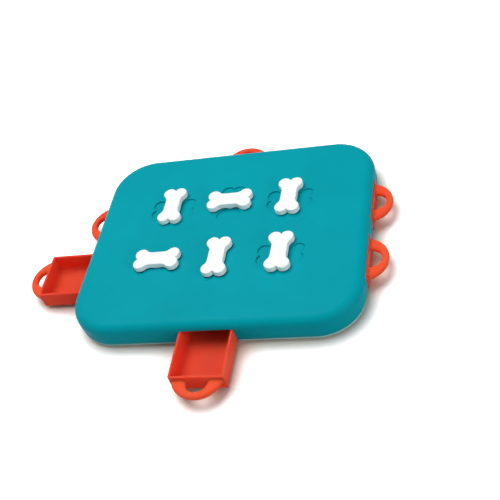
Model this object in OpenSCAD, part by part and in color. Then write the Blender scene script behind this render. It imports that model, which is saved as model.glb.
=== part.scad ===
// Sliding-drawer puzzle feeder for dogs.
// A rounded board holds six drawers. Each drawer is released by turning the
// bone-shaped knob above it until it lies along the drawer's slide.
// Origin: centre of the board on the table. +X runs along the long side,
// +Z is up, and the player's side of the board faces -Y.

/* [Board] */
// Length of the board along X
board_w = 360; // [350:1:400]
// Depth of the board along Y
board_d = 294; // [288:1:330]
// Height of the board's top face above the table
board_h = 38; // [37.5:0.5:44]
// Corner radius of the board, seen from above
corner_r = 55; // [48:1:60]
// Radius of the rounding between the top face and the sides
top_round = 11.5; // [10:0.5:15]
// Radius of the curve that tucks the sides in above the lip
side_round = 14; // [13:0.5:16]
// How far the lip is tucked in from the widest part of the side
tuck_in = 4.5; // [3:0.5:6]
// Height of the lip above the table
lip_z = 3; // [2.5:0.5:4]
// Wall thickness of the shell's sides
wall = 3; // [2.4:0.1:3.4]
// Thickness of the shell's top
top_t = 4; // [3.5:0.1:4.4]

/* [Base] */
// Thickness of the base plate
base_t = 2; // [1.8:0.1:2.4]
// Distance from the board's outline to the edge of the base plate
base_inset = 11; // [10.6:0.1:14]
// Height of the base plate's upstanding rim
base_rim_h = 6; // [4:0.5:8]
// Height of the rails that guide the drawers
rail_h = 9; // [6:0.5:12]
// Thickness of rails, fences and stop ribs
rib_t = 1.8; // [1.4:0.1:2]
// Diameter of the non-slip pads
pad_d = 22; // [14:1:26]
// Thickness of the non-slip pads
pad_t = 0.8; // [0.5:0.1:1]

/* [Drawers] */
// Outer width of a drawer
drawer_w = 66; // [58:1:68]
// Length of a drawer from its front face to its back
drawer_l = 116; // [112:1:117]
// Height of a drawer
drawer_h = 24.5; // [22:0.5:26]
// Thickness of a drawer's walls
drawer_wall = 2.8; // [2:0.1:3.4]
// Thickness of a drawer's floor
drawer_floor = 2.2; // [1.8:0.1:3]
// Radius of a drawer's lower edges
drawer_edge_r = 5; // [4:0.5:8]
// How far a closed drawer's face stands proud of the board
drawer_proud = 1; // [0.5:0.1:3]
// How far the left front drawer is pulled out
open_left = 59; // [0:1:85]
// How far the front drawer is pulled out
open_front = 62; // [0:1:85]

/* [Handles] */
// Distance from a drawer's side to the root of its handle
handle_inset = 2; // [2:0.5:6]
// Reach of a handle from the drawer's face
handle_reach = 23; // [19:0.5:26]
// Thickness of a handle
handle_t = 8; // [7:0.5:10]
// Height of a handle's middle above the table
handle_z = 18; // [14:0.5:20]
// Radius of the finger hole
finger_r = 13; // [10:0.5:14]
// Distance of the finger hole's centre from the drawer's face
finger_x = 1.5; // [0:0.5:3]
// Radius of a handle's rounded edges
handle_round = 3; // [2:0.5:3.4]

/* [Bones] */
// Length of a bone
bone_l = 58; // [54:1:62]
// Width of a bone across its lobes
bone_w = 31; // [29:1:34]
// Width of a bone's straight shank
bone_waist = 20; // [17:1:22]
// Radius of a bone's lobes
lobe_r = 8.3; // [8.1:0.1:9]
// Radius of the fillets between a bone's shank and its lobes
bone_fillet = 10; // [6:0.5:11]
// Height of a bone
bone_h = 7; // [5:0.5:10]
// Radius of a bone's rounded upper edge
bone_round = 1.2; // [0.6:0.1:1.6]
// Height of the gap between the top face and the bones over it
bone_lift = 1.5; // [0.6:0.1:2]
// Distance of the outer bones from the board's middle along X
column_x = 78; // [76:1:82]
// Distance of the outer bones and drawers from the middle along Y
row_y = 46; // [44:1:48]
// Distance of the middle bones from the board's middle along Y
middle_y = 47.5; // [46:0.5:51]
// Depth of the bone-shaped recesses in the top face
recess_depth = 2; // [1:0.1:2.2]

/* [Lock] */
// Radius of the stem that a bone turns on
stem_r = 5.95; // [5:0.05:7]
// Length of the lock cam
cam_l = 25; // [20:1:26]
// Width of the lock cam
cam_w = 9; // [8:0.5:11]
// Gap between the two catches on a drawer's back
catch_gap = 28; // [28:1:32]
// Width of each catch
catch_w = 6; // [4:0.5:8]

/* [Clearances] */
// Radial play of the stem in its bearing
stem_play = 0.05; // [0.03:0.01:0.1]
// Gap between parts that slide or turn over each other
glide = 0.3; // [0.3:0.05:0.4]
// Sideways play of a drawer
drawer_play = 0.6; // [0.5:0.1:0.8]
// Height of the gap between a drawer's rim and the edge above it
mouth_gap = 0.5; // [0.4:0.1:0.7]
// Gap between a recess and the outline of the bone
recess_gap = 0.3; // [0.2:0.1:1]

/* [Hidden] */
$fn = 96;
eps = 0.01;
far = 400;

TEAL = [0.03, 0.62, 0.68];
TEAL_DARK = [0.02, 0.47, 0.53];
ORANGE = [0.93, 0.29, 0.17];
BONE = [0.97, 0.96, 0.93];
RUBBER = [0.12, 0.12, 0.13];
STEEL = [0.72, 0.73, 0.75];
NYLON = [0.85, 0.85, 0.82];

// Each bay: [direction its drawer slides, sideways place of its middle line,
// half of the board that way, distance of the bone, pulled out by, bone turn].
// A bone at turn 0 lies along the slide and frees the drawer; at 90 it locks.
LEFT_FRONT = [180, row_y, board_w / 2, column_x, open_left, 0];
LEFT_BACK = [180, -row_y, board_w / 2, column_x, 0, 90];
RIGHT_FRONT = [0, -row_y, board_w / 2, column_x, 0, 90];
RIGHT_BACK = [0, row_y, board_w / 2, column_x, 0, 90];
FRONT = [270, 0, board_d / 2, middle_y, open_front, 0];
BACK = [90, 0, board_d / 2, middle_y, 0, 90];
BAYS = [LEFT_FRONT, LEFT_BACK, RIGHT_FRONT, RIGHT_BACK, FRONT, BACK];

// Levels above the table
drawer_z = base_t + glide;
rim_z = drawer_z + drawer_h;
mouth_z = rim_z + mouth_gap;
ceiling_z = board_h - top_t;
side_mid_z = lip_z + sqrt(pow(side_round, 2) - pow(side_round - tuck_in, 2));
bone_z = board_h + bone_lift;
foot_z = board_h - recess_depth + glide;
bearing_drop = 0.8;
bearing_z = ceiling_z - bearing_drop;
cam_top_z = bearing_z - glide;
cam_t = 4;
cam_z = cam_top_z - cam_t;
catch_headroom = 2.8;
catch_top_z = ceiling_z - catch_headroom;
rib_headroom = 2 * mouth_gap;
fence_drop = 5.4;
fence_z = rim_z - fence_drop;

// Lock parts
foot_inset = 1.5;
foot_r = bone_waist / 2 - foot_inset;
bearing_wall = 3;
bearing_r = stem_r + bearing_wall;
key_w = 7;
key_h = 1.2;
key_play = 0.05;
cam_hub_r = 7;
cam_screw_r = 1.5;
cam_head_r = 3.2;
cam_head_h = 1.5;
cam_head_play = 0.1;
cam_screw_depth = 9;
screw_tip_gap = 1;

// Base plate, screws and pads
rim_t = 2;
boss_r = 4.5;
boss_seat_z = 2 * base_t;
base_screw_r = 1.4;
base_screw_len = 12;
base_head_r = 3.3;
base_head_h = 1.7;
base_hole_r = 1.8;
base_head_hole_r = 3.8;
boss_collar_r = 6.5;
// Places of the screws and pads in one quarter of the board: the distances
// are from the middle, and the insets from the board's edges
corner_screw_inset_x = 45;
corner_screw_inset_y = 39;
long_side_screw_x = 50;
long_side_screw_inset = 35;
end_screw_inset = 30;
pad_inset_x = 70;
pad_inset_y = 43;
SCREWS = [
    [board_w / 2 - corner_screw_inset_x, board_d / 2 - corner_screw_inset_y],
    [long_side_screw_x, board_d / 2 - long_side_screw_inset],
    [board_w / 2 - end_screw_inset, 0]
];
PAD = [board_w / 2 - pad_inset_x, board_d / 2 - pad_inset_y];

// Centres of a bone's lobes, and of the fillets between the lobes and the
// shank's sides, in one quarter of the bone. The fillets bite a hair into both,
// so that their faces cross cleanly instead of grazing each other.
bite = 0.02;
LOBE = [bone_l / 2 - lobe_r, bone_w / 2 - lobe_r];
fillet_y = bone_waist / 2 + bone_fillet - bite;
fillet_reach = lobe_r + bone_fillet - bite;
FILLET = [LOBE[0] - sqrt(pow(fillet_reach, 2) - pow(fillet_y - LOBE[1], 2)), fillet_y];

// Drawer travel ends where the catches meet the stop rib
stop_x = 26;
fence_end = 13;
tub_outer_r = 2;
tub_inner_r = 1;
handle_w = drawer_w - 2 * handle_inset;

// Moves a child from a bay's own frame (+X out along the slide, X = 0 at the
// board's middle) to its place on the board.
module in_bay(bay) {
    rotate([0, 0, bay[0]])
        translate([0, bay[1], 0])
            children();
}

// Places a child on a bay's bone axis, turned with the bone.
module on_bone_axis(bay) {
    in_bay(bay)
        translate([bay[3], 0, 0])
            rotate([0, 0, bay[5]])
                children();
}

// Repeats a child at (x, y) and its mirror images, without doubling those
// that lie on an axis.
module mirrored(point) {
    for (sx = [-1, 1], sy = point[1] == 0 ? [1] : [-1, 1])
        translate([sx * point[0], sy * point[1], 0])
            children();
}

module round_rect(w, d, r) {
    square([w - 2 * r, d], center = true);
    square([w, d - 2 * r], center = true);
    for (sx = [-1, 1], sy = [-1, 1])
        translate([sx * (w / 2 - r), sy * (d / 2 - r)])
            circle(r);
}

// ---- Board ----------------------------------------------------------------

// Right half of the board's cross-section, drawn `inset` inside the outside
// and cut flat at top_z and low_z: the top rounding runs into an upright
// band, which runs into the curve that tucks the side in.
module half_section(half, inset, top_z, low_z) {
    top_r = top_round - inset;
    intersection() {
        translate([0, low_z])
            square([half, top_z - low_z]);
        union() {
            translate([0, low_z])
                square([half - side_round, side_mid_z - low_z]);
            translate([0, side_mid_z])
                square([half - inset, top_z - top_r - side_mid_z]);
            square([half - top_round, top_z]);
            translate([half - top_round, top_z - top_r])
                circle(top_r);
            translate([half - side_round, side_mid_z])
                circle(side_round - inset);
        }
    }
}

module full_section(half, inset, top_z, low_z) {
    half_section(half, inset, top_z, low_z);
    mirror([1, 0])
        half_section(half, inset, top_z, low_z);
}

// The board's pillow form: the same section revolved at the corners and
// extruded along the sides.
module pillow(inset, top_z, low_z) {
    mirrored([board_w / 2 - corner_r, board_d / 2 - corner_r])
        rotate_extrude()
            half_section(corner_r, inset, top_z, low_z);
    rotate([90, 0, 0])
        linear_extrude(board_d - 2 * corner_r, center = true)
            full_section(board_w / 2, inset, top_z, low_z);
    rotate([90, 0, 90])
        linear_extrude(board_w - 2 * corner_r, center = true)
            full_section(board_d / 2, inset, top_z, low_z);
}

// Opening in the side of the shell that the drawer slides through.
module drawer_mouth(bay) {
    width = drawer_w + 2 * drawer_play;
    in_bay(bay)
        translate([bay[2] - wall - side_round, -width / 2, -1])
            cube([wall + 2 * side_round, width, mouth_z + 1]);
}

module top_shell() {
    color(TEAL)
        difference() {
            union() {
                difference() {
                    pillow(0, board_h, lip_z);
                    pillow(wall, ceiling_z, lip_z - 1);
                    for (bay = BAYS)
                        drawer_mouth(bay);
                }
                for (bay = BAYS)
                    on_bone_axis(bay)
                        translate([0, 0, bearing_z])
                            cylinder(ceiling_z - bearing_z + eps, r = bearing_r);
            }
            for (bay = BAYS)
                in_bay(bay)
                    translate([bay[3], 0, board_h - recess_depth])
                        linear_extrude(recess_depth + 1)
                            bone_outline(recess_gap);
            for (bay = BAYS)
                on_bone_axis(bay)
                    cylinder(far, r = stem_r + stem_play);
        }
}

// Fences under the top that keep the drawer straight, and the rib across
// them that its catches stop against.
module bay_fences(bay) {
    inner = drawer_w / 2 + drawer_play;
    rib_z = rim_z + rib_headroom;
    in_bay(bay) {
        for (side = [-1, 1])
            translate([bay[2] - drawer_l, side * (inner + rib_t / 2) - rib_t / 2, fence_z])
                cube([drawer_l - fence_end, rib_t, ceiling_z - fence_z]);
        translate([bay[2] - stop_x, -inner - eps, rib_z])
            cube([rib_t, 2 * (inner + eps), ceiling_z - rib_z]);
    }
}

// The shell's inner ribs and screw bosses, moulded with it. They are a node
// of their own so that the skin stays one simple hollow form.
module shell_ribs() {
    color(TEAL) {
        for (bay = BAYS)
            bay_fences(bay);
        for (point = SCREWS)
            mirrored(point)
                translate([0, 0, boss_seat_z])
                    difference() {
                        cylinder(ceiling_z - boss_seat_z, r = boss_r);
                        translate([0, 0, -1])
                            cylinder(base_screw_len + 1, r = base_screw_r);
                    }
    }
}

// ---- Base -----------------------------------------------------------------

module base_outline(inset) {
    round_rect(
        board_w - 2 * (base_inset + inset), board_d - 2 * (base_inset + inset),
        corner_r - base_inset - inset
    );
}

// Rails along both sides of a drawer and a stop across its back.
module bay_rails(bay) {
    inner = drawer_w / 2 + drawer_play;
    back_x = bay[2] + drawer_proud - drawer_l - glide - rib_t;
    in_bay(bay) {
        for (side = [-1, 1])
            translate([back_x, side * (inner + rib_t / 2) - rib_t / 2, base_t])
                cube([bay[2] - base_inset - rim_t - back_x, rib_t, rail_h - base_t]);
        translate([back_x, -inner - eps, base_t])
            cube([rib_t, 2 * (inner + eps), rail_h - base_t]);
    }
}

// The base plate's upstanding rails, moulded with it, as a node of their own.
module drawer_rails() {
    color(TEAL_DARK)
        for (bay = BAYS)
            bay_rails(bay);
}

module base_plate() {
    color(TEAL_DARK)
        difference() {
            union() {
                linear_extrude(base_t)
                    base_outline(0);
                difference() {
                    linear_extrude(base_rim_h)
                        base_outline(0);
                    translate([0, 0, base_t])
                        linear_extrude(base_rim_h)
                            base_outline(rim_t);
                    translate([0, 0, base_t + 1])
                        for (bay = BAYS)
                            drawer_mouth(bay);
                }
                for (point = SCREWS)
                    mirrored(point)
                        cylinder(boss_seat_z, r = boss_collar_r);
            }
            for (point = SCREWS)
                mirrored(point) {
                    translate([0, 0, -1])
                        cylinder(far, r = base_hole_r);
                    translate([0, 0, -1])
                        cylinder(base_t + 1, r = base_head_hole_r);
                }
            mirrored(PAD)
                translate([0, 0, -1])
                    cylinder(pad_t + 1, d = pad_d);
        }
}

module non_slip_pads() {
    color(RUBBER)
        mirrored(PAD)
            cylinder(pad_t, d = pad_d);
}

module base_screws() {
    color(STEEL)
        for (point = SCREWS)
            mirrored(point) {
                translate([0, 0, base_t - base_head_h])
                    cylinder(base_head_h, r = base_head_r);
                cylinder(boss_seat_z + base_screw_len - screw_tip_gap, r = base_screw_r);
            }
}

// ---- Drawers --------------------------------------------------------------

// Profile with square upper and rounded lower corners, from x = -l to 0.
module keel_profile(l, h, r) {
    translate([-l, r])
        square([l, h - r]);
    translate([r - l, 0])
        square([l - 2 * r, h]);
    for (x = [-r, r - l])
        translate([x, r])
            circle(r);
}

// Block with rounded lower edges and rounded upright corners.
module tub(l, w, h, edge_r, upright_r) {
    intersection() {
        linear_extrude(h)
            translate([-l / 2, 0])
                round_rect(l, w, upright_r);
        rotate([90, 0, 0])
            linear_extrude(w + 2, center = true)
                keel_profile(l, h, edge_r);
        rotate([90, 0, 90])
            translate([w / 2, 0, 0])
                linear_extrude(2 * l + 2, center = true)
                    keel_profile(w, h, edge_r);
    }
}

// Disc of thickness t with both rims rounded.
module soft_disc(r, t, edge_r) {
    rotate_extrude() {
        square([r - edge_r, t]);
        translate([0, edge_r])
            square([r, t - 2 * edge_r]);
        for (z = [edge_r, t - edge_r])
            translate([r - edge_r, z])
                circle(edge_r);
    }
}

// Half section of a cutter r wide that rounds the upper edge beside it by
// edge_r at height h.
module flare_profile(r, h, edge_r) {
    translate([0, -1])
        square([r, h + 2]);
    difference() {
        translate([r - eps, h - edge_r])
            square([edge_r + eps, edge_r + 1]);
        translate([r + edge_r, h - edge_r])
            circle(edge_r);
    }
}

module flared_cutter(r, h, edge_r) {
    rotate_extrude()
        flare_profile(r, h, edge_r);
}

// Places a child at the middle of a drawer's face, at its foot.
module on_drawer(bay) {
    in_bay(bay)
        translate([bay[2] + drawer_proud + bay[4], 0, drawer_z])
            children();
}

// Half ring moulded onto the drawer's face, with its rim and finger hole
// rounded on both sides. It is a node of its own so that both stay simple.
module handle(bay) {
    ring_r = (pow(handle_w / 2, 2) + pow(handle_reach, 2)) / (2 * handle_reach);
    color(ORANGE)
        on_drawer(bay)
            translate([0, 0, handle_z - drawer_z - handle_t / 2])
                difference() {
                    translate([handle_reach - ring_r, 0, 0])
                        soft_disc(ring_r, handle_t, handle_round);
                    translate([finger_x, 0, 0]) {
                        flared_cutter(finger_r, handle_t, handle_round);
                        translate([0, 0, handle_t])
                            mirror([0, 0, 1])
                                flared_cutter(finger_r, handle_t, handle_round);
                    }
                    translate([-far, -far / 2, -1])
                        cube([far, far, handle_t + 2]);
                }
}

// The two catches on top of the drawer's back wall.
module catches() {
    for (side = [-1, 1])
        translate([
            -drawer_l, side * (catch_gap + catch_w) / 2 - catch_w / 2, drawer_h - eps
        ])
            cube([drawer_wall, catch_w, catch_top_z - rim_z]);
}

module drawer(bay) {
    inner_r = drawer_edge_r - drawer_floor / 2;
    color(ORANGE)
        on_drawer(bay) {
            difference() {
                tub(drawer_l, drawer_w, drawer_h, drawer_edge_r, tub_outer_r);
                translate([-drawer_wall, 0, drawer_floor])
                    tub(
                        drawer_l - 2 * drawer_wall, drawer_w - 2 * drawer_wall,
                        drawer_h, inner_r, tub_inner_r
                    );
            }
            catches();
        }
}

// ---- Bones and locks ------------------------------------------------------

// Shank of a bone between its lobes' centres, as wide as the points where the
// lobes meet the fillets. `grow` is how far the outline lies outside the bone.
module shank(grow) {
    share = (lobe_r + grow) / (lobe_r + bone_fillet);
    touch = LOBE + (FILLET - LOBE) * share;
    polygon([
        [LOBE[0], LOBE[1]], touch, [-touch[0], touch[1]], [-LOBE[0], LOBE[1]],
        [-LOBE[0], -LOBE[1]], [-touch[0], -touch[1]], [touch[0], -touch[1]],
        [LOBE[0], -LOBE[1]]
    ]);
}

// Repeats a child in each quarter of a bone.
module in_quarters(point) {
    for (sx = [-1, 1], sy = [-1, 1])
        translate([sx * point[0], sy * point[1], 0])
            children();
}

// Outline of a bone along X, grown by `grow` all round.
module bone_outline(grow) {
    flank = bone_waist / 2 + grow;
    difference() {
        shank(grow);
        in_quarters(FILLET)
            circle(bone_fillet - grow);
        for (side = [-1, 1])
            translate([0, side * (flank + bone_fillet)])
                square([2 * FILLET[0], 2 * bone_fillet], center = true);
    }
    in_quarters(LOBE)
        circle(lobe_r + grow);
}

// Lobe with a rounded upper edge and a square foot.
module lobe() {
    rotate_extrude() {
        square([lobe_r, bone_h - bone_round]);
        square([lobe_r - bone_round, bone_h]);
        translate([lobe_r - bone_round, bone_h - bone_round])
            circle(bone_round);
    }
}

// The same form as a solid whose upper edge is rounded all the way round.
module bone_body() {
    difference() {
        linear_extrude(bone_h)
            shank(0);
        in_quarters(FILLET)
            flared_cutter(bone_fillet, bone_h, bone_round);
        for (turn = [0, 180])
            rotate([0, 0, turn])
                translate([0, -bone_waist / 2 - bone_fillet, 0])
                    rotate([90, 0, 90])
                        linear_extrude(2 * FILLET[0], center = true)
                            flare_profile(bone_fillet, bone_h, bone_round);
    }
    in_quarters(LOBE)
        lobe();
}

module key(w, h) {
    linear_extrude(h)
        square(w, center = true);
}

module bone(bay) {
    color(BONE)
        on_bone_axis(bay)
            difference() {
                union() {
                    translate([0, 0, bone_z])
                        bone_body();
                    translate([0, 0, foot_z])
                        cylinder(bone_z - foot_z + eps, r = foot_r);
                    translate([0, 0, cam_top_z])
                        cylinder(bone_z - cam_top_z + eps, r = stem_r);
                    translate([0, 0, cam_top_z - key_h])
                        key(key_w, key_h + eps);
                }
                translate([0, 0, cam_z])
                    cylinder(cam_t + cam_screw_depth, r = cam_screw_r);
            }
}

// Bar that turns with the bone between or behind the drawer's catches.
module cam(bay) {
    color(NYLON)
        on_bone_axis(bay)
            translate([0, 0, cam_z])
                difference() {
                    linear_extrude(cam_t) {
                        intersection() {
                            square([cam_l, cam_w], center = true);
                            circle(d = cam_l);
                        }
                        circle(cam_hub_r);
                    }
                    translate([0, 0, cam_t - key_h])
                        key(key_w + 2 * key_play, key_h + 1);
                    translate([0, 0, -1])
                        cylinder(cam_t + 2, r = cam_screw_r);
                    translate([0, 0, -1])
                        cylinder(cam_head_h + cam_head_play + 1, r = cam_head_r + cam_head_play);
                }
}

module cam_screw(bay) {
    color(STEEL)
        on_bone_axis(bay)
            translate([0, 0, cam_z + cam_head_play]) {
                cylinder(cam_head_h, r = cam_head_r);
                cylinder(cam_t + cam_screw_depth - screw_tip_gap, r = cam_screw_r);
            }
}

top_shell();
shell_ribs();
base_plate();
drawer_rails();
non_slip_pads();
base_screws();
drawer(LEFT_FRONT);  // drawer_left_front
drawer(LEFT_BACK);  // drawer_left_back
drawer(RIGHT_FRONT);  // drawer_right_front
drawer(RIGHT_BACK);  // drawer_right_back
drawer(FRONT);  // drawer_front
drawer(BACK);  // drawer_back
handle(LEFT_FRONT);  // handle_left_front
handle(LEFT_BACK);  // handle_left_back
handle(RIGHT_FRONT);  // handle_right_front
handle(RIGHT_BACK);  // handle_right_back
handle(FRONT);  // handle_front
handle(BACK);  // handle_back
bone(LEFT_FRONT);  // bone_left_front
bone(LEFT_BACK);  // bone_left_back
bone(RIGHT_FRONT);  // bone_right_front
bone(RIGHT_BACK);  // bone_right_back
bone(FRONT);  // bone_front
bone(BACK);  // bone_back
cam(LEFT_FRONT);  // cam_left_front
cam(LEFT_BACK);  // cam_left_back
cam(RIGHT_FRONT);  // cam_right_front
cam(RIGHT_BACK);  // cam_right_back
cam(FRONT);  // cam_front
cam(BACK);  // cam_back
cam_screw(LEFT_FRONT);  // cam_screw_left_front
cam_screw(LEFT_BACK);  // cam_screw_left_back
cam_screw(RIGHT_FRONT);  // cam_screw_right_front
cam_screw(RIGHT_BACK);  // cam_screw_right_back
cam_screw(FRONT);  // cam_screw_front
cam_screw(BACK);  // cam_screw_back
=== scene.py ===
import math

import bmesh
import bpy
from mathutils import Euler, Matrix, Vector


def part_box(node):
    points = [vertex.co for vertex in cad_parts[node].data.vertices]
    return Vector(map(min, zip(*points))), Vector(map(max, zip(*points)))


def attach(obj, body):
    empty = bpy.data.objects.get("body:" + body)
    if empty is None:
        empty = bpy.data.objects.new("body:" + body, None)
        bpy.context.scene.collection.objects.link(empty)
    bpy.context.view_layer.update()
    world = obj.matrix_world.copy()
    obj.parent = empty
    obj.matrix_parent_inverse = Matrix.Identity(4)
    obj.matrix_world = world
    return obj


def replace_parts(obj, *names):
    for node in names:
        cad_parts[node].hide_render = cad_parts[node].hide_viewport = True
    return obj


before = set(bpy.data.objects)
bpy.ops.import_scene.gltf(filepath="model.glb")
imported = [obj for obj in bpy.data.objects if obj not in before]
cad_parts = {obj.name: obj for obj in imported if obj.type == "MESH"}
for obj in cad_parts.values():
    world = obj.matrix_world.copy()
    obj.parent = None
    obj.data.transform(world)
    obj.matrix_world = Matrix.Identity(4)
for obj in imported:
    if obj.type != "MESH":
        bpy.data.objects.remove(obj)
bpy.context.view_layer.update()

# ---- Base plate and rails ----------------------------------------------------
# A flat plate that closes the board from below, with rails and stops for the
# drawers on it. It is injection moulded in ABS, a shade darker than the lid,
# and held by screws.

# How far apart a moulding's changes of tone and of sheen lie, in mm, and the
# range that nearly all of a noise falls in.
TONE_MM = 70
SHEEN_MM = 12
NOISE_RANGE = (0.3, 0.7)

# Points closer than this, in metres, are one. Faces that differ by less than
# FLAT_ANGLE become one flat, and edges sharper than SHARP_ANGLE are rounded.
SAME_POINT = 1e-6
FLAT_ANGLE = math.radians(0.2)
SHARP_ANGLE = math.radians(40)
EDGE_STEPS = 3


def linear(hex_colour):
    """Linear colour of an sRGB hex value such as "0FA0AC"."""
    channels = [int(hex_colour[i : i + 2], 16) / 255 for i in (0, 2, 4)]
    return [
        c / 12.92 if c <= 0.04045 else ((c + 0.055) / 1.055) ** 2.4 for c in channels
    ] + [1]


def add_node(tree, kind, settings=None, links=None):
    """Adds a node. settings are its properties and, by socket name, its values;
    links joins its inputs to other nodes' outputs."""
    node = tree.nodes.new(kind)
    for name, value in (settings or {}).items():
        if name in node.inputs:
            node.inputs[name].default_value = value
        else:
            setattr(node, name, value)
    for name, output in (links or {}).items():
        tree.links.new(output, node.inputs[name])
    return node


def moulded(name, shades, rough, grain_mm, grain_deep_mm, surface):
    """A moulding's material. shades are the darkest, middle and lightest tone,
    which drift slowly over the piece. rough is the range of the sheen. grain is
    the texture that the mould's steel leaves, and surface holds the shader's
    other values."""
    material = bpy.data.materials.new(name)
    material.use_nodes = True
    tree = material.node_tree
    tree.nodes.clear()
    place = add_node(tree, "ShaderNodeTexCoord").outputs["Object"]

    def noise(size_mm, detail):
        settings = {"Scale": 1000 / size_mm, "Detail": detail}
        texture = add_node(tree, "ShaderNodeTexNoise", settings, {"Vector": place})
        return texture.outputs["Fac"]

    tint = add_node(tree, "ShaderNodeValToRGB", links={"Fac": noise(TONE_MM, 2.0)})
    stops = tint.color_ramp.elements
    stops.new(0.5)
    for stop, at, shade in zip(stops, (NOISE_RANGE[0], 0.5, NOISE_RANGE[1]), shades):
        stop.position = at
        stop.color = linear(shade)
    sheen = add_node(
        tree,
        "ShaderNodeMapRange",
        {
            "From Min": NOISE_RANGE[0],
            "From Max": NOISE_RANGE[1],
            "To Min": rough[0],
            "To Max": rough[1],
        },
        {"Value": noise(SHEEN_MM, 3.0)},
    )
    grain = add_node(
        tree,
        "ShaderNodeBump",
        {"Distance": grain_deep_mm / 1000},
        {"Height": noise(grain_mm, 2.0)},
    )
    plastic = add_node(
        tree,
        "ShaderNodeBsdfPrincipled",
        surface,
        {
            "Base Color": tint.outputs["Color"],
            "Roughness": sheen.outputs["Result"],
            "Normal": grain.outputs["Normal"],
        },
    )
    shown = {"Surface": plastic.outputs["BSDF"]}
    add_node(tree, "ShaderNodeOutputMaterial", links=shown)
    return material


def finish(node, material, edge_mm=0.0):
    """Gives a CAD node its material, and its sharp edges the small radius that
    a mould leaves on them."""
    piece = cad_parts[node]
    piece.data.materials.clear()
    piece.data.materials.append(material)
    if edge_mm:
        joined = piece.modifiers.new("joined_faces", "WELD")
        joined.merge_threshold = SAME_POINT
        flats = piece.modifiers.new("whole_flats", "DECIMATE")
        flats.decimate_type = "DISSOLVE"
        flats.angle_limit = FLAT_ANGLE
        soft = piece.modifiers.new("soft_edges", "BEVEL")
        soft.width = edge_mm / 1000
        soft.segments = EDGE_STEPS
        soft.limit_method = "ANGLE"
        soft.angle_limit = SHARP_ANGLE
        shade = piece.modifiers.new("even_shading", "WEIGHTED_NORMAL")
        shade.keep_sharp = True


# ABS from a mould that was spark eroded a little coarser than the lid's: dull,
# without highlights. Its 0.4 mm grain is drawn 1.2 mm so that it shows.
base_abs = moulded(
    "dark_teal_moulded_abs",
    shades=("067280", "087784", "0A7C89"),
    rough=(0.55, 0.65),
    grain_mm=1.2,
    grain_deep_mm=0.012,
    surface={"IOR": 1.53, "Specular IOR Level": 0.3},
)
finish("base_plate", base_abs)
finish("drawer_rails", base_abs)

# ---- Non-slip pads -----------------------------------------------------------
# Four discs of black rubber, die cut from sheet and glued into shallow seats
# in the underside.

# Calendered rubber sheet: nearly matt, with the fine weave of the cloth that it
# was rolled on. The 0.5 mm weave is drawn 1 mm so that it shows.
pad_rubber = moulded(
    "black_rubber_sheet",
    shades=("1A1A1C", "1D1D1F", "202022"),
    rough=(0.75, 0.85),
    grain_mm=1.0,
    grain_deep_mm=0.03,
    surface={"IOR": 1.52, "Specular IOR Level": 0.3},
)
finish("non_slip_pads", pad_rubber)

# ---- Drawers and their handles -----------------------------------------------
# Six like trays with a half-ring handle, each one moulding in orange-red
# polypropylene. They slide between the rails, and their catches stop them.

BAYS = ["left_front", "left_back", "right_front", "right_back", "front", "back"]


def polypropylene(name, shades):
    """A soft sheen with faint waves some 2 mm apart. Red light passes through
    thin walls, so that the shaded sides of a tray glow red."""
    return moulded(
        name,
        shades,
        rough=(0.36, 0.44),
        grain_mm=2.0,
        grain_deep_mm=0.006,
        surface={
            "IOR": 1.49,
            "Specular IOR Level": 0.03,
            "Subsurface Weight": 0.75,
            "Subsurface Radius": (1.0, 0.15, 0.08),
            "Subsurface Scale": 0.008,
        },
    )


# Painted shade: the trays get a redder copy of the handles' colour, for the deeper
# red that shade gives inside them.
tray_pp_painted_shade = polypropylene("polypropylene_painted_redder_shade", ("F54A33", "F85037", "FB573B"))
orange_pp = polypropylene(
    "orange_moulded_polypropylene", ("F55333", "F85937", "FB603B")
)
for bay in BAYS:
    finish(f"drawer_{bay}", tray_pp_painted_shade, edge_mm=0.6)

# The handle's half ring, in metres. RING is its rim and HOLE its finger hole,
# each a circle given as the centre's distance from the drawer's face and the
# radius. The section is crowned, and a fillet joins it to the face.
GRIP_HALF = 0.031
GRIP_REACH = 0.023
RING_R = (GRIP_HALF**2 + GRIP_REACH**2) / (2 * GRIP_REACH)
RING = (GRIP_REACH - RING_R, RING_R)
HOLE = (0.0015, 0.013)
GRIP_CROWN = 2.4
GRIP_FILLET = 0.0015
GRIP_SUNK = 0.0003
GRIP_LOOPS = 41
GRIP_SIDES = 28
# The way that each drawer faces, in half turns from +X.
FACING = {"right": 0.0, "back": 0.5, "left": 1.0, "front": 1.5}


def swept_faces(loops, sides):
    """Faces of a skin over loops of points, closed at both ends."""
    faces = []
    for loop in range(loops - 1):
        for side in range(sides):
            a = loop * sides + side
            b = loop * sides + (side + 1) % sides
            faces.append((a, b, b + sides, a + sides))
    faces.append(tuple(range(sides)))
    faces.append(tuple(range((loops - 1) * sides, loops * sides)))
    return faces


def closed_mesh(name, points, faces, material, sharp_degrees):
    """A smooth mesh that faces outwards and keeps the edges that are sharp."""
    mesh = bpy.data.meshes.new(name)
    mesh.from_pydata(points, [], faces)
    form = bmesh.new()
    form.from_mesh(mesh)
    bmesh.ops.recalc_face_normals(form, faces=form.faces)
    form.to_mesh(mesh)
    form.free()
    mesh.shade_smooth()
    mesh.set_sharp_from_angle(angle=math.radians(sharp_degrees))
    mesh.materials.append(material)
    return mesh


def add_piece(name, mesh, body):
    """Puts a new piece on a body of the toy."""
    piece = bpy.data.objects.new(name, mesh)
    bpy.context.scene.collection.objects.link(piece)
    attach(piece, body)
    return piece


def arc_point(circle, share):
    """Point at a share, -1 to 1, of an arc that ends on the drawer's face."""
    centre, radius = circle
    angle = math.acos(-centre / radius) * share
    return Vector((centre + radius * math.cos(angle), radius * math.sin(angle), 0))


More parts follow.
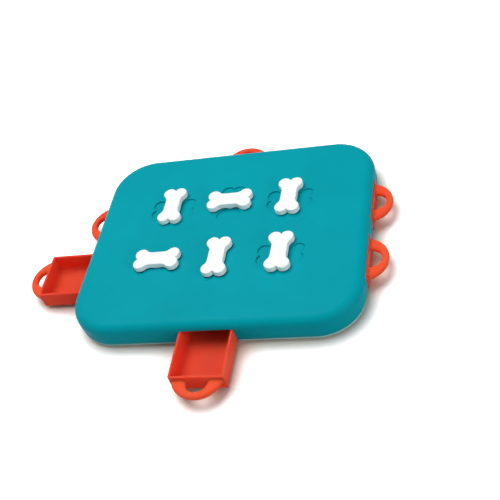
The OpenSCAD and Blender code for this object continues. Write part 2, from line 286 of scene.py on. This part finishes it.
def grip_loop(share, half_high, sunk):
    """Crowned section of the half ring at a share of its arc. It swells close
    to the drawer's face at x = 0, and sunk moves it into the face."""
    inner, outer = arc_point(HOLE, share), arc_point(RING, share)
    middle, half = (inner + outer) / 2, (outer - inner) / 2
    loop = []
    for side in range(GRIP_SIDES):
        turn = 2 * math.pi * side / GRIP_SIDES
        along, up = math.cos(turn), math.sin(turn)
        crown = abs(along) ** GRIP_CROWN + abs(up) ** GRIP_CROWN
        bulge = crown ** (-1 / GRIP_CROWN)
        point = middle + half * along * bulge
        near_face = max(0, 1 - max(point.x, 0) / GRIP_FILLET)
        swell = GRIP_FILLET * (1 - math.sqrt(1 - near_face**2))
        point += half.normalized() * along * swell
        point.x = max(point.x, 0) - sunk
        point.z = half_high * up * bulge + swell * up
        loop.append(point)
    return loop


def grip_mesh(half_high):
    """The half ring, on a drawer that faces +X. Its loops crowd at both ends,
    where the fillet is."""
    shares = [
        math.sin(math.pi * (loop / (GRIP_LOOPS - 1) - 0.5))
        for loop in range(GRIP_LOOPS)
    ]
    points = grip_loop(shares[0], half_high, GRIP_SUNK)
    for share in shares:
        points += grip_loop(share, half_high, 0)
    points += grip_loop(shares[-1], half_high, GRIP_SUNK)
    faces = swept_faces(GRIP_LOOPS + 2, GRIP_SIDES)
    return closed_mesh("grip", points, faces, orange_pp, sharp_degrees=50)


for bay in BAYS:
    low, high = (Vector(corner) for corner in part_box(f"handle_{bay}"))
    turned = Matrix.Rotation(FACING[bay.split("_")[0]] * math.pi, 3, "Z")
    root = (low + high) / 2 - turned @ Vector((GRIP_REACH / 2, 0, 0))
    mesh = grip_mesh((high.z - low.z) / 2)
    mesh.transform(Matrix.Translation(root) @ turned.to_4x4())
    grip = add_piece(f"grip_{bay}", mesh, f"drawer_{bay}_body")
    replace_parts(grip, f"handle_{bay}")

# ---- Top shell and its ribs --------------------------------------------------
# The lid is one injection moulding in teal ABS, with the bone recesses, the
# bearings and the drawer mouths moulded in, and ribs and screw bosses inside.

# ABS from a spark-eroded mould: even and satin, a trace deeper in tone where
# the melt is thicker. Its 0.4 mm grain is drawn 1.2 mm so that it shows.
teal_abs = moulded(
    "teal_moulded_abs",
    shades=("009AA8", "009DAB", "00A0AE"),
    rough=(0.42, 0.5),
    grain_mm=1.2,
    grain_deep_mm=0.006,
    surface={"IOR": 1.53, "Specular IOR Level": 0.03},
)
finish("top_shell", teal_abs, edge_mm=0.4)
finish("shell_ribs", teal_abs)

# The lid's foot ends in a fine lip where the mould parts. Its pale tone is a painted
# highlight, which stands in for the bright floor's reflection along the foot. Its 0.4
# mm grain is drawn 1.2 mm, as on the lid.
lip_abs_painted_highlight = moulded(
    "teal_abs_painted_highlight",
    shades=("A6DCD8", "AAE0DC", "AEE3DF"),
    rough=(0.35, 0.42),
    grain_mm=1.2,
    grain_deep_mm=0.003,
    surface={"IOR": 1.53, "Specular IOR Level": 0.3},
)
# The lip runs along the lid's foot, TUCK inside its widest outline, and stops
# at the drawers' mouths. LIP_SECTION gives steps out and up. All in metres.
TUCK = 0.0045
LID_CORNER_R = 0.055
MOUTH_HALF = 0.0338
SIDE_MOUTH_Y = 0.046
LIP_SECTION = [
    (-0.0004, 0.0),
    (0.0022, 0.0),
    (0.0025, 0.0003),
    (0.0025, 0.0007),
    (0.0021, 0.0011),
    (0.0004, 0.0014),
]
CORNER_STEP = 3

lid_low, lid_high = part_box("top_shell")
FOOT_X, FOOT_Y = lid_high[0] - TUCK, lid_high[1] - TUCK
FOOT_CORNER_R = LID_CORNER_R - TUCK


def foot_corner(degrees):
    """Place and direction out on the foot's front right corner."""
    turn = math.radians(degrees)
    return (
        FOOT_X - FOOT_CORNER_R * (1 - math.cos(turn)),
        -FOOT_Y + FOOT_CORNER_R * (1 + math.sin(turn)),
        turn,
    )


def lip_points(stations, flip_x, flip_y):
    """Points of one length of lip along stations, mirrored by the flips."""
    return [
        (
            flip_x * (x + step * math.cos(out)),
            flip_y * (y + step * math.sin(out)),
            lid_low[2] + rise,
        )
        for x, y, out in stations
        for step, rise in LIP_SECTION
    ]


round_corner = [
    (MOUTH_HALF, -FOOT_Y, -math.pi / 2),
    *(foot_corner(degrees) for degrees in range(-90, 1, CORNER_STEP)),
    (FOOT_X, -SIDE_MOUTH_Y - MOUTH_HALF, 0.0),
]
between_mouths = [
    (FOOT_X, -SIDE_MOUTH_Y + MOUTH_HALF, 0.0),
    (FOOT_X, SIDE_MOUTH_Y - MOUTH_HALF, 0.0),
]
points, faces = [], []
for stations, flip_x, flip_y in (
    (round_corner, 1, 1),
    (round_corner, 1, -1),
    (round_corner, -1, 1),
    (round_corner, -1, -1),
    (between_mouths, 1, 1),
    (between_mouths, -1, 1),
):
    first = len(points)
    points += lip_points(stations, flip_x, flip_y)
    for face in swept_faces(len(stations), len(LIP_SECTION)):
        faces.append(tuple(first + corner for corner in face))
lip_mesh = closed_mesh("lid_foot_lip", points, faces, lip_abs_painted_highlight, sharp_degrees=60)
add_piece("lid_foot_lip", lip_mesh, "board")

# ---- Bone knobs --------------------------------------------------------------
# Six solid bones moulded in white ABS, each with its stem. The stem turns in
# the lid's bearing and drives the cam under it.

# White ABS, matt, a trace warmer where it is thickest. Its 0.4 mm grain is
# drawn 1.2 mm, as on the lid.
bone_abs = moulded(
    "white_moulded_abs",
    shades=("FBFBFA", "FDFDFC", "FEFEFD"),
    rough=(0.42, 0.5),
    grain_mm=1.2,
    grain_deep_mm=0.006,
    surface={
        "IOR": 1.53,
        "Specular IOR Level": 0.3,
        "Subsurface Weight": 0.3,
        "Subsurface Radius": (1.0, 0.9, 0.8),
        "Subsurface Scale": 0.003,
    },
)
for bay in BAYS:
    finish(f"bone_{bay}", bone_abs)

# ---- Lock cams ---------------------------------------------------------------
# Under each bone sits a bar moulded in natural nylon. It is keyed to the stem
# and turns behind the catches of the drawer.

# Natural nylon: milky and slightly waxy. Its 0.5 mm grain is drawn 1.5 mm so
# that it shows.
natural_nylon = moulded(
    "natural_moulded_nylon",
    shades=("D6D5CD", "DAD9D2", "DDDCD6"),
    rough=(0.4, 0.5),
    grain_mm=1.5,
    grain_deep_mm=0.008,
    surface={"IOR": 1.53, "Specular IOR Level": 0.4},
)
for bay in BAYS:
    finish(f"cam_{bay}", natural_nylon)

# ---- Screws ------------------------------------------------------------------
# Self-tapping pan-head screws with a cross recess, cold formed from steel wire
# and zinc plated. Ten hold the base plate, and one holds each cam.

# Bright zinc plate: a bluish white metal with a slightly uneven sheen. The
# bath's 0.2 mm crystals are drawn 0.8 mm so that they show.
zinc_plate = moulded(
    "zinc_plated_steel",
    shades=("C3C6CB", "C8CBCF", "CDCFD2"),
    rough=(0.28, 0.38),
    grain_mm=0.8,
    grain_deep_mm=0.002,
    surface={"Metallic": 1.0},
)

# Screw sizes in metres. Lengths are over all, and the base screws' heads lie
# 0.3 mm inside the underside. The drive is a cross with tapered sides.
BASE_SCREW_LONG = 0.0147
CAM_SCREW_LONG = 0.012
HEAD_HIGH = 0.0015
CROSS_REACH = 0.0017
CROSS_HALF = 0.00042
CROSS_DEEP = 0.0011
CROSS_POINT_DEEP = 1.1 * CROSS_DEEP
CROSS_TAPER = 0.55
THREAD_PITCH = 0.00125
THREAD_DEEP = 0.0003
TIP_LONG = 0.003
TIP_BLUNT = 0.05
LOOP_STEP = 0.00025
# The pan head's outline, as steps in from its radius and up from its top.
PAN_HEAD = [
    (0.001, 0.0),
    (0.00055, 0.00008),
    (0.0002, 0.0003),
    (0.00005, 0.00055),
    (0.0, 0.0008),
    (0.0, HEAD_HIGH - 0.0001),
    (0.0001, HEAD_HIGH),
]

# Angles of a loop round the screw: the arms of the cross and their corners,
# and between them five points closer than the rest for the cross's inner corner.
ARM = math.atan2(CROSS_HALF, CROSS_REACH)
EIGHTH = math.pi / 4
INNER_STEP = 0.15
AROUND = [
    quarter * math.pi / 2 + turn
    for quarter in range(4)
    for turn in (
        0,
        ARM,
        EIGHTH - 2 * INNER_STEP,
        EIGHTH - INNER_STEP,
        EIGHTH,
        EIGHTH + INNER_STEP,
        EIGHTH + 2 * INNER_STEP,
        2 * EIGHTH - ARM,
    )
]


def cross_radius(angle, share):
    """Distance of the cross recess's side from the axis, at share of its size."""
    turn = (angle + EIGHTH) % (math.pi / 2) - EIGHTH
    side = CROSS_HALF / max(abs(math.sin(turn)), SAME_POINT)
    return share * min(CROSS_REACH / math.cos(turn), side)


def thread_radius(angle, height, shank_radius, length):
    """Distance of the thread from the axis. It runs out at the tip."""
    turns = (height - HEAD_HIGH) / THREAD_PITCH - angle / (2 * math.pi)
    flank = 1 - abs(2 * (turns % 1) - 1)
    taper = min(1, (length - height) / TIP_LONG)
    core = shank_radius - THREAD_DEEP
    return max(taper, TIP_BLUNT) * (core + THREAD_DEEP * max(0, 2 * flank - 1))


def screw_mesh(head_radius, shank_radius, length, places, foot):
    """One mesh of like screws that stand on their heads at these places, with
    the drive facing down at height foot."""
    loops = [
        [(cross_radius(a, CROSS_TAPER), CROSS_DEEP) for a in AROUND],
        [(cross_radius(a, 1.0), 0.0) for a in AROUND],
    ]
    for inset, height in PAN_HEAD:
        loops.append([(head_radius - inset, height)] * len(AROUND))
    height = HEAD_HIGH
    while height < length:
        loops.append(
            [(thread_radius(a, height, shank_radius, length), height) for a in AROUND]
        )
        height += LOOP_STEP
    points, faces = [], []
    count = len(AROUND)
    for x, y in places:
        first = len(points)
        points.append((x, y, foot + CROSS_POINT_DEEP))
        for loop in loops:
            for angle, (radius, height) in zip(AROUND, loop):
                points.append(
                    (
                        x + radius * math.cos(angle),
                        y + radius * math.sin(angle),
                        foot + height,
                    )
                )
        points.append((x, y, foot + length))
        last = len(points) - 1
        for i in range(count):
            near, far = first + 1 + i, first + 1 + (i + 1) % count
            faces.append((first, near, far))
            for step in range(len(loops) - 1):
                a, b = near + step * count, far + step * count
                faces.append((a, a + count, b + count, b))
            top = (len(loops) - 1) * count
            faces.append((near + top, last, far + top))
    return closed_mesh("screws", points, faces, zinc_plate, sharp_degrees=35)


def screw_places(node):
    """Axis of each screw in a CAD node, from the node's separate solids."""
    form = bmesh.new()
    form.from_mesh(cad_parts[node].data)
    bmesh.ops.remove_doubles(form, verts=form.verts, dist=SAME_POINT)
    places, left = set(), set(form.verts)
    while left:
        solid = [left.pop()]
        for vert in solid:
            for edge in vert.link_edges:
                other = edge.other_vert(vert)
                if other in left:
                    left.discard(other)
                    solid.append(other)
        middle = []
        for axis in (0, 1):
            spread = [vert.co[axis] for vert in solid]
            middle.append(round((min(spread) + max(spread)) / 2, 5))
        places.add(tuple(middle))
    form.free()
    return sorted(places)


def add_screws(node, body, head_radius, shank_radius, length):
    """Screws with a cross recess and a thread in place of a CAD node."""
    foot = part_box(node)[1][2] - length
    mesh = screw_mesh(head_radius, shank_radius, length, screw_places(node), foot)
    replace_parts(add_piece(f"zinc_{node}", mesh, body), node)


add_screws("base_screws", "board", 0.0033, 0.0014, BASE_SCREW_LONG)
for bay in BAYS:
    add_screws(f"cam_screw_{bay}", f"bone_{bay}_body", 0.0032, 0.0015, CAM_SCREW_LONG)

# ---- Studio ------------------------------------------------------------------
# A white table in an even white room, under a broad lamp that stands behind the
# toy on the left. Two weaker lamps stand low in front, on the right and left.

TABLE_HALF = 20.0
TABLE_DROP = 0.0002
WHITE = (1, 1, 1, 1)
ROOM_LIGHT = 0.18
# The paper lights the toy as PAPER_LIGHT does. It looks brighter than that, and near
# the toy it carries a painted shadow on top of the lamps' real one: out to the reach
# below, each row of the table is a share of open sky and the paper's painted shade
# there.
PAPER_LIGHT = (0.5, 0.5, 0.5, 1)
PAINTED_SHADOW_REACH = 0.035
PAINTED_SHADOW_STOPS = [
    (0.3, (0.8, 0.66, 0.53, 1)),
    (0.6, (1.1, 1.04, 0.98, 1)),
    (0.86, (1.6, 1.6, 1.6, 1)),
]
# Distances, in metres, between which the lamps' light on the paper gives out.
LAMPS_REACH = (0.8, 1.6)


def seen_directly(tree):
    """1 for the camera, mirrors and glass, 0 for the light on the toy."""
    ray = add_node(tree, "ShaderNodeLightPath")
    seen = ray.outputs["Is Camera Ray"]
    for other in ("Is Glossy Ray", "Is Transmission Ray"):
        either = add_node(tree, "ShaderNodeMath", {"operation": "MAXIMUM"})
        tree.links.new(seen, either.inputs[0])
        tree.links.new(ray.outputs[other], either.inputs[1])
        seen = either.outputs["Value"]
    return seen


def light_or_look(tree, light, look):
    """The shader light for the light on the toy, and look where it is seen."""
    either = add_node(tree, "ShaderNodeMixShader", links={"Fac": seen_directly(tree)})
    tree.links.new(light, either.inputs[1])
    tree.links.new(look, either.inputs[2])
    return {"Surface": either.outputs["Shader"]}


def lamp(name, place, size, watts):
    """A round softbox at a place, turned to the toy."""
    data = bpy.data.lights.new(name, "AREA")
    data.shape = "DISK"
    data.size = size
    data.energy = watts
    box = bpy.data.objects.new(name, data)
    box.location = place
    box.rotation_euler = (-Vector(place)).to_track_quat("-Z", "Y").to_euler()
    bpy.context.scene.collection.objects.link(box)


table_mesh = bpy.data.meshes.new("table_top")
table_corners = [
    (-TABLE_HALF, -TABLE_HALF, 0),
    (TABLE_HALF, -TABLE_HALF, 0),
    (TABLE_HALF, TABLE_HALF, 0),
    (-TABLE_HALF, TABLE_HALF, 0),
]
table_mesh.from_pydata(table_corners, [], [(0, 1, 2, 3)])
table_top = bpy.data.objects.new("table_top", table_mesh)
table_top.location.z = -TABLE_DROP
bpy.context.scene.collection.objects.link(table_top)

# White paper, matt and even, so that only the shadow close to the toy is seen: the
# lamps' real shadow and a painted shadow.
paper = bpy.data.materials.new("white_paper")
paper.use_nodes = True
tree = paper.node_tree
tree.nodes.clear()
lit = add_node(tree, "ShaderNodeBsdfDiffuse", {"Color": PAPER_LIGHT})
# Painted shadow: the paper darkens where it sees little open sky close to the toy.
contact = add_node(tree, "ShaderNodeAmbientOcclusion", {"Distance": PAINTED_SHADOW_REACH})
shade = add_node(tree, "ShaderNodeValToRGB", links={"Fac": contact.outputs["AO"]})
stops = shade.color_ramp.elements
stops.new(PAINTED_SHADOW_STOPS[1][0])
for stop, (at, colour) in zip(stops, PAINTED_SHADOW_STOPS):
    stop.position = at
    stop.color = colour
bright = add_node(
    tree, "ShaderNodeBsdfDiffuse", links={"Color": shade.outputs["Color"]}
)
# Beyond the lamps' reach it runs on as plain white.
white = add_node(tree, "ShaderNodeEmission", {"Color": WHITE, "Strength": 1.0})
place = add_node(tree, "ShaderNodeTexCoord").outputs["Object"]
away = add_node(
    tree, "ShaderNodeVectorMath", {"operation": "LENGTH"}, {"Vector": place}
)
far = add_node(
    tree,
    "ShaderNodeMapRange",
    {"From Min": LAMPS_REACH[0], "From Max": LAMPS_REACH[1]},
    {"Value": away.outputs["Value"]},
)
look = add_node(tree, "ShaderNodeMixShader", links={"Fac": far.outputs["Result"]})
tree.links.new(bright.outputs["BSDF"], look.inputs[1])
tree.links.new(white.outputs["Emission"], look.inputs[2])
surface = light_or_look(tree, lit.outputs["BSDF"], look.outputs["Shader"])
add_node(tree, "ShaderNodeOutputMaterial", links=surface)
table_mesh.materials.append(paper)

room = bpy.data.worlds.new("white_room")
bpy.context.scene.world = room
room.use_nodes = True
tree = room.node_tree
tree.nodes.clear()
dim = {"Color": WHITE, "Strength": ROOM_LIGHT}
around = add_node(tree, "ShaderNodeBackground", dim)
backdrop = add_node(tree, "ShaderNodeBackground", {"Color": WHITE, "Strength": 1.0})
surface = light_or_look(
    tree, around.outputs["Background"], backdrop.outputs["Background"]
)
add_node(tree, "ShaderNodeOutputWorld", links=surface)

lamp("key_lamp", place=(-0.5, 0.42, 2.1), size=1.9, watts=41)
lamp("fill_lamp", place=(2.1, -1.1, 0.9), size=1.6, watts=21.5)
lamp("low_lamp", place=(-1.6, -1.4, 0.3), size=1.3, watts=5)

# The camera is given by the toy's turn and place in front of it.
LENS_MM = 63.84
SENSOR_MM = 36
TOY_TURN = (-0.7493, -0.30617, 0.07098)
TOY_PLACE = (-0.02141, -0.00064, -1.12406)
camera = bpy.data.objects.new("camera", bpy.data.cameras.new("camera"))
camera.data.lens = LENS_MM
camera.data.sensor_width = SENSOR_MM
turned = Euler(TOY_TURN, "XYZ").to_matrix().to_4x4()
camera.matrix_world = (Matrix.Translation(TOY_PLACE) @ turned).inverted()
bpy.context.scene.collection.objects.link(camera)
bpy.context.scene.camera = camera
bpy.context.scene.view_settings.view_transform = "Standard"
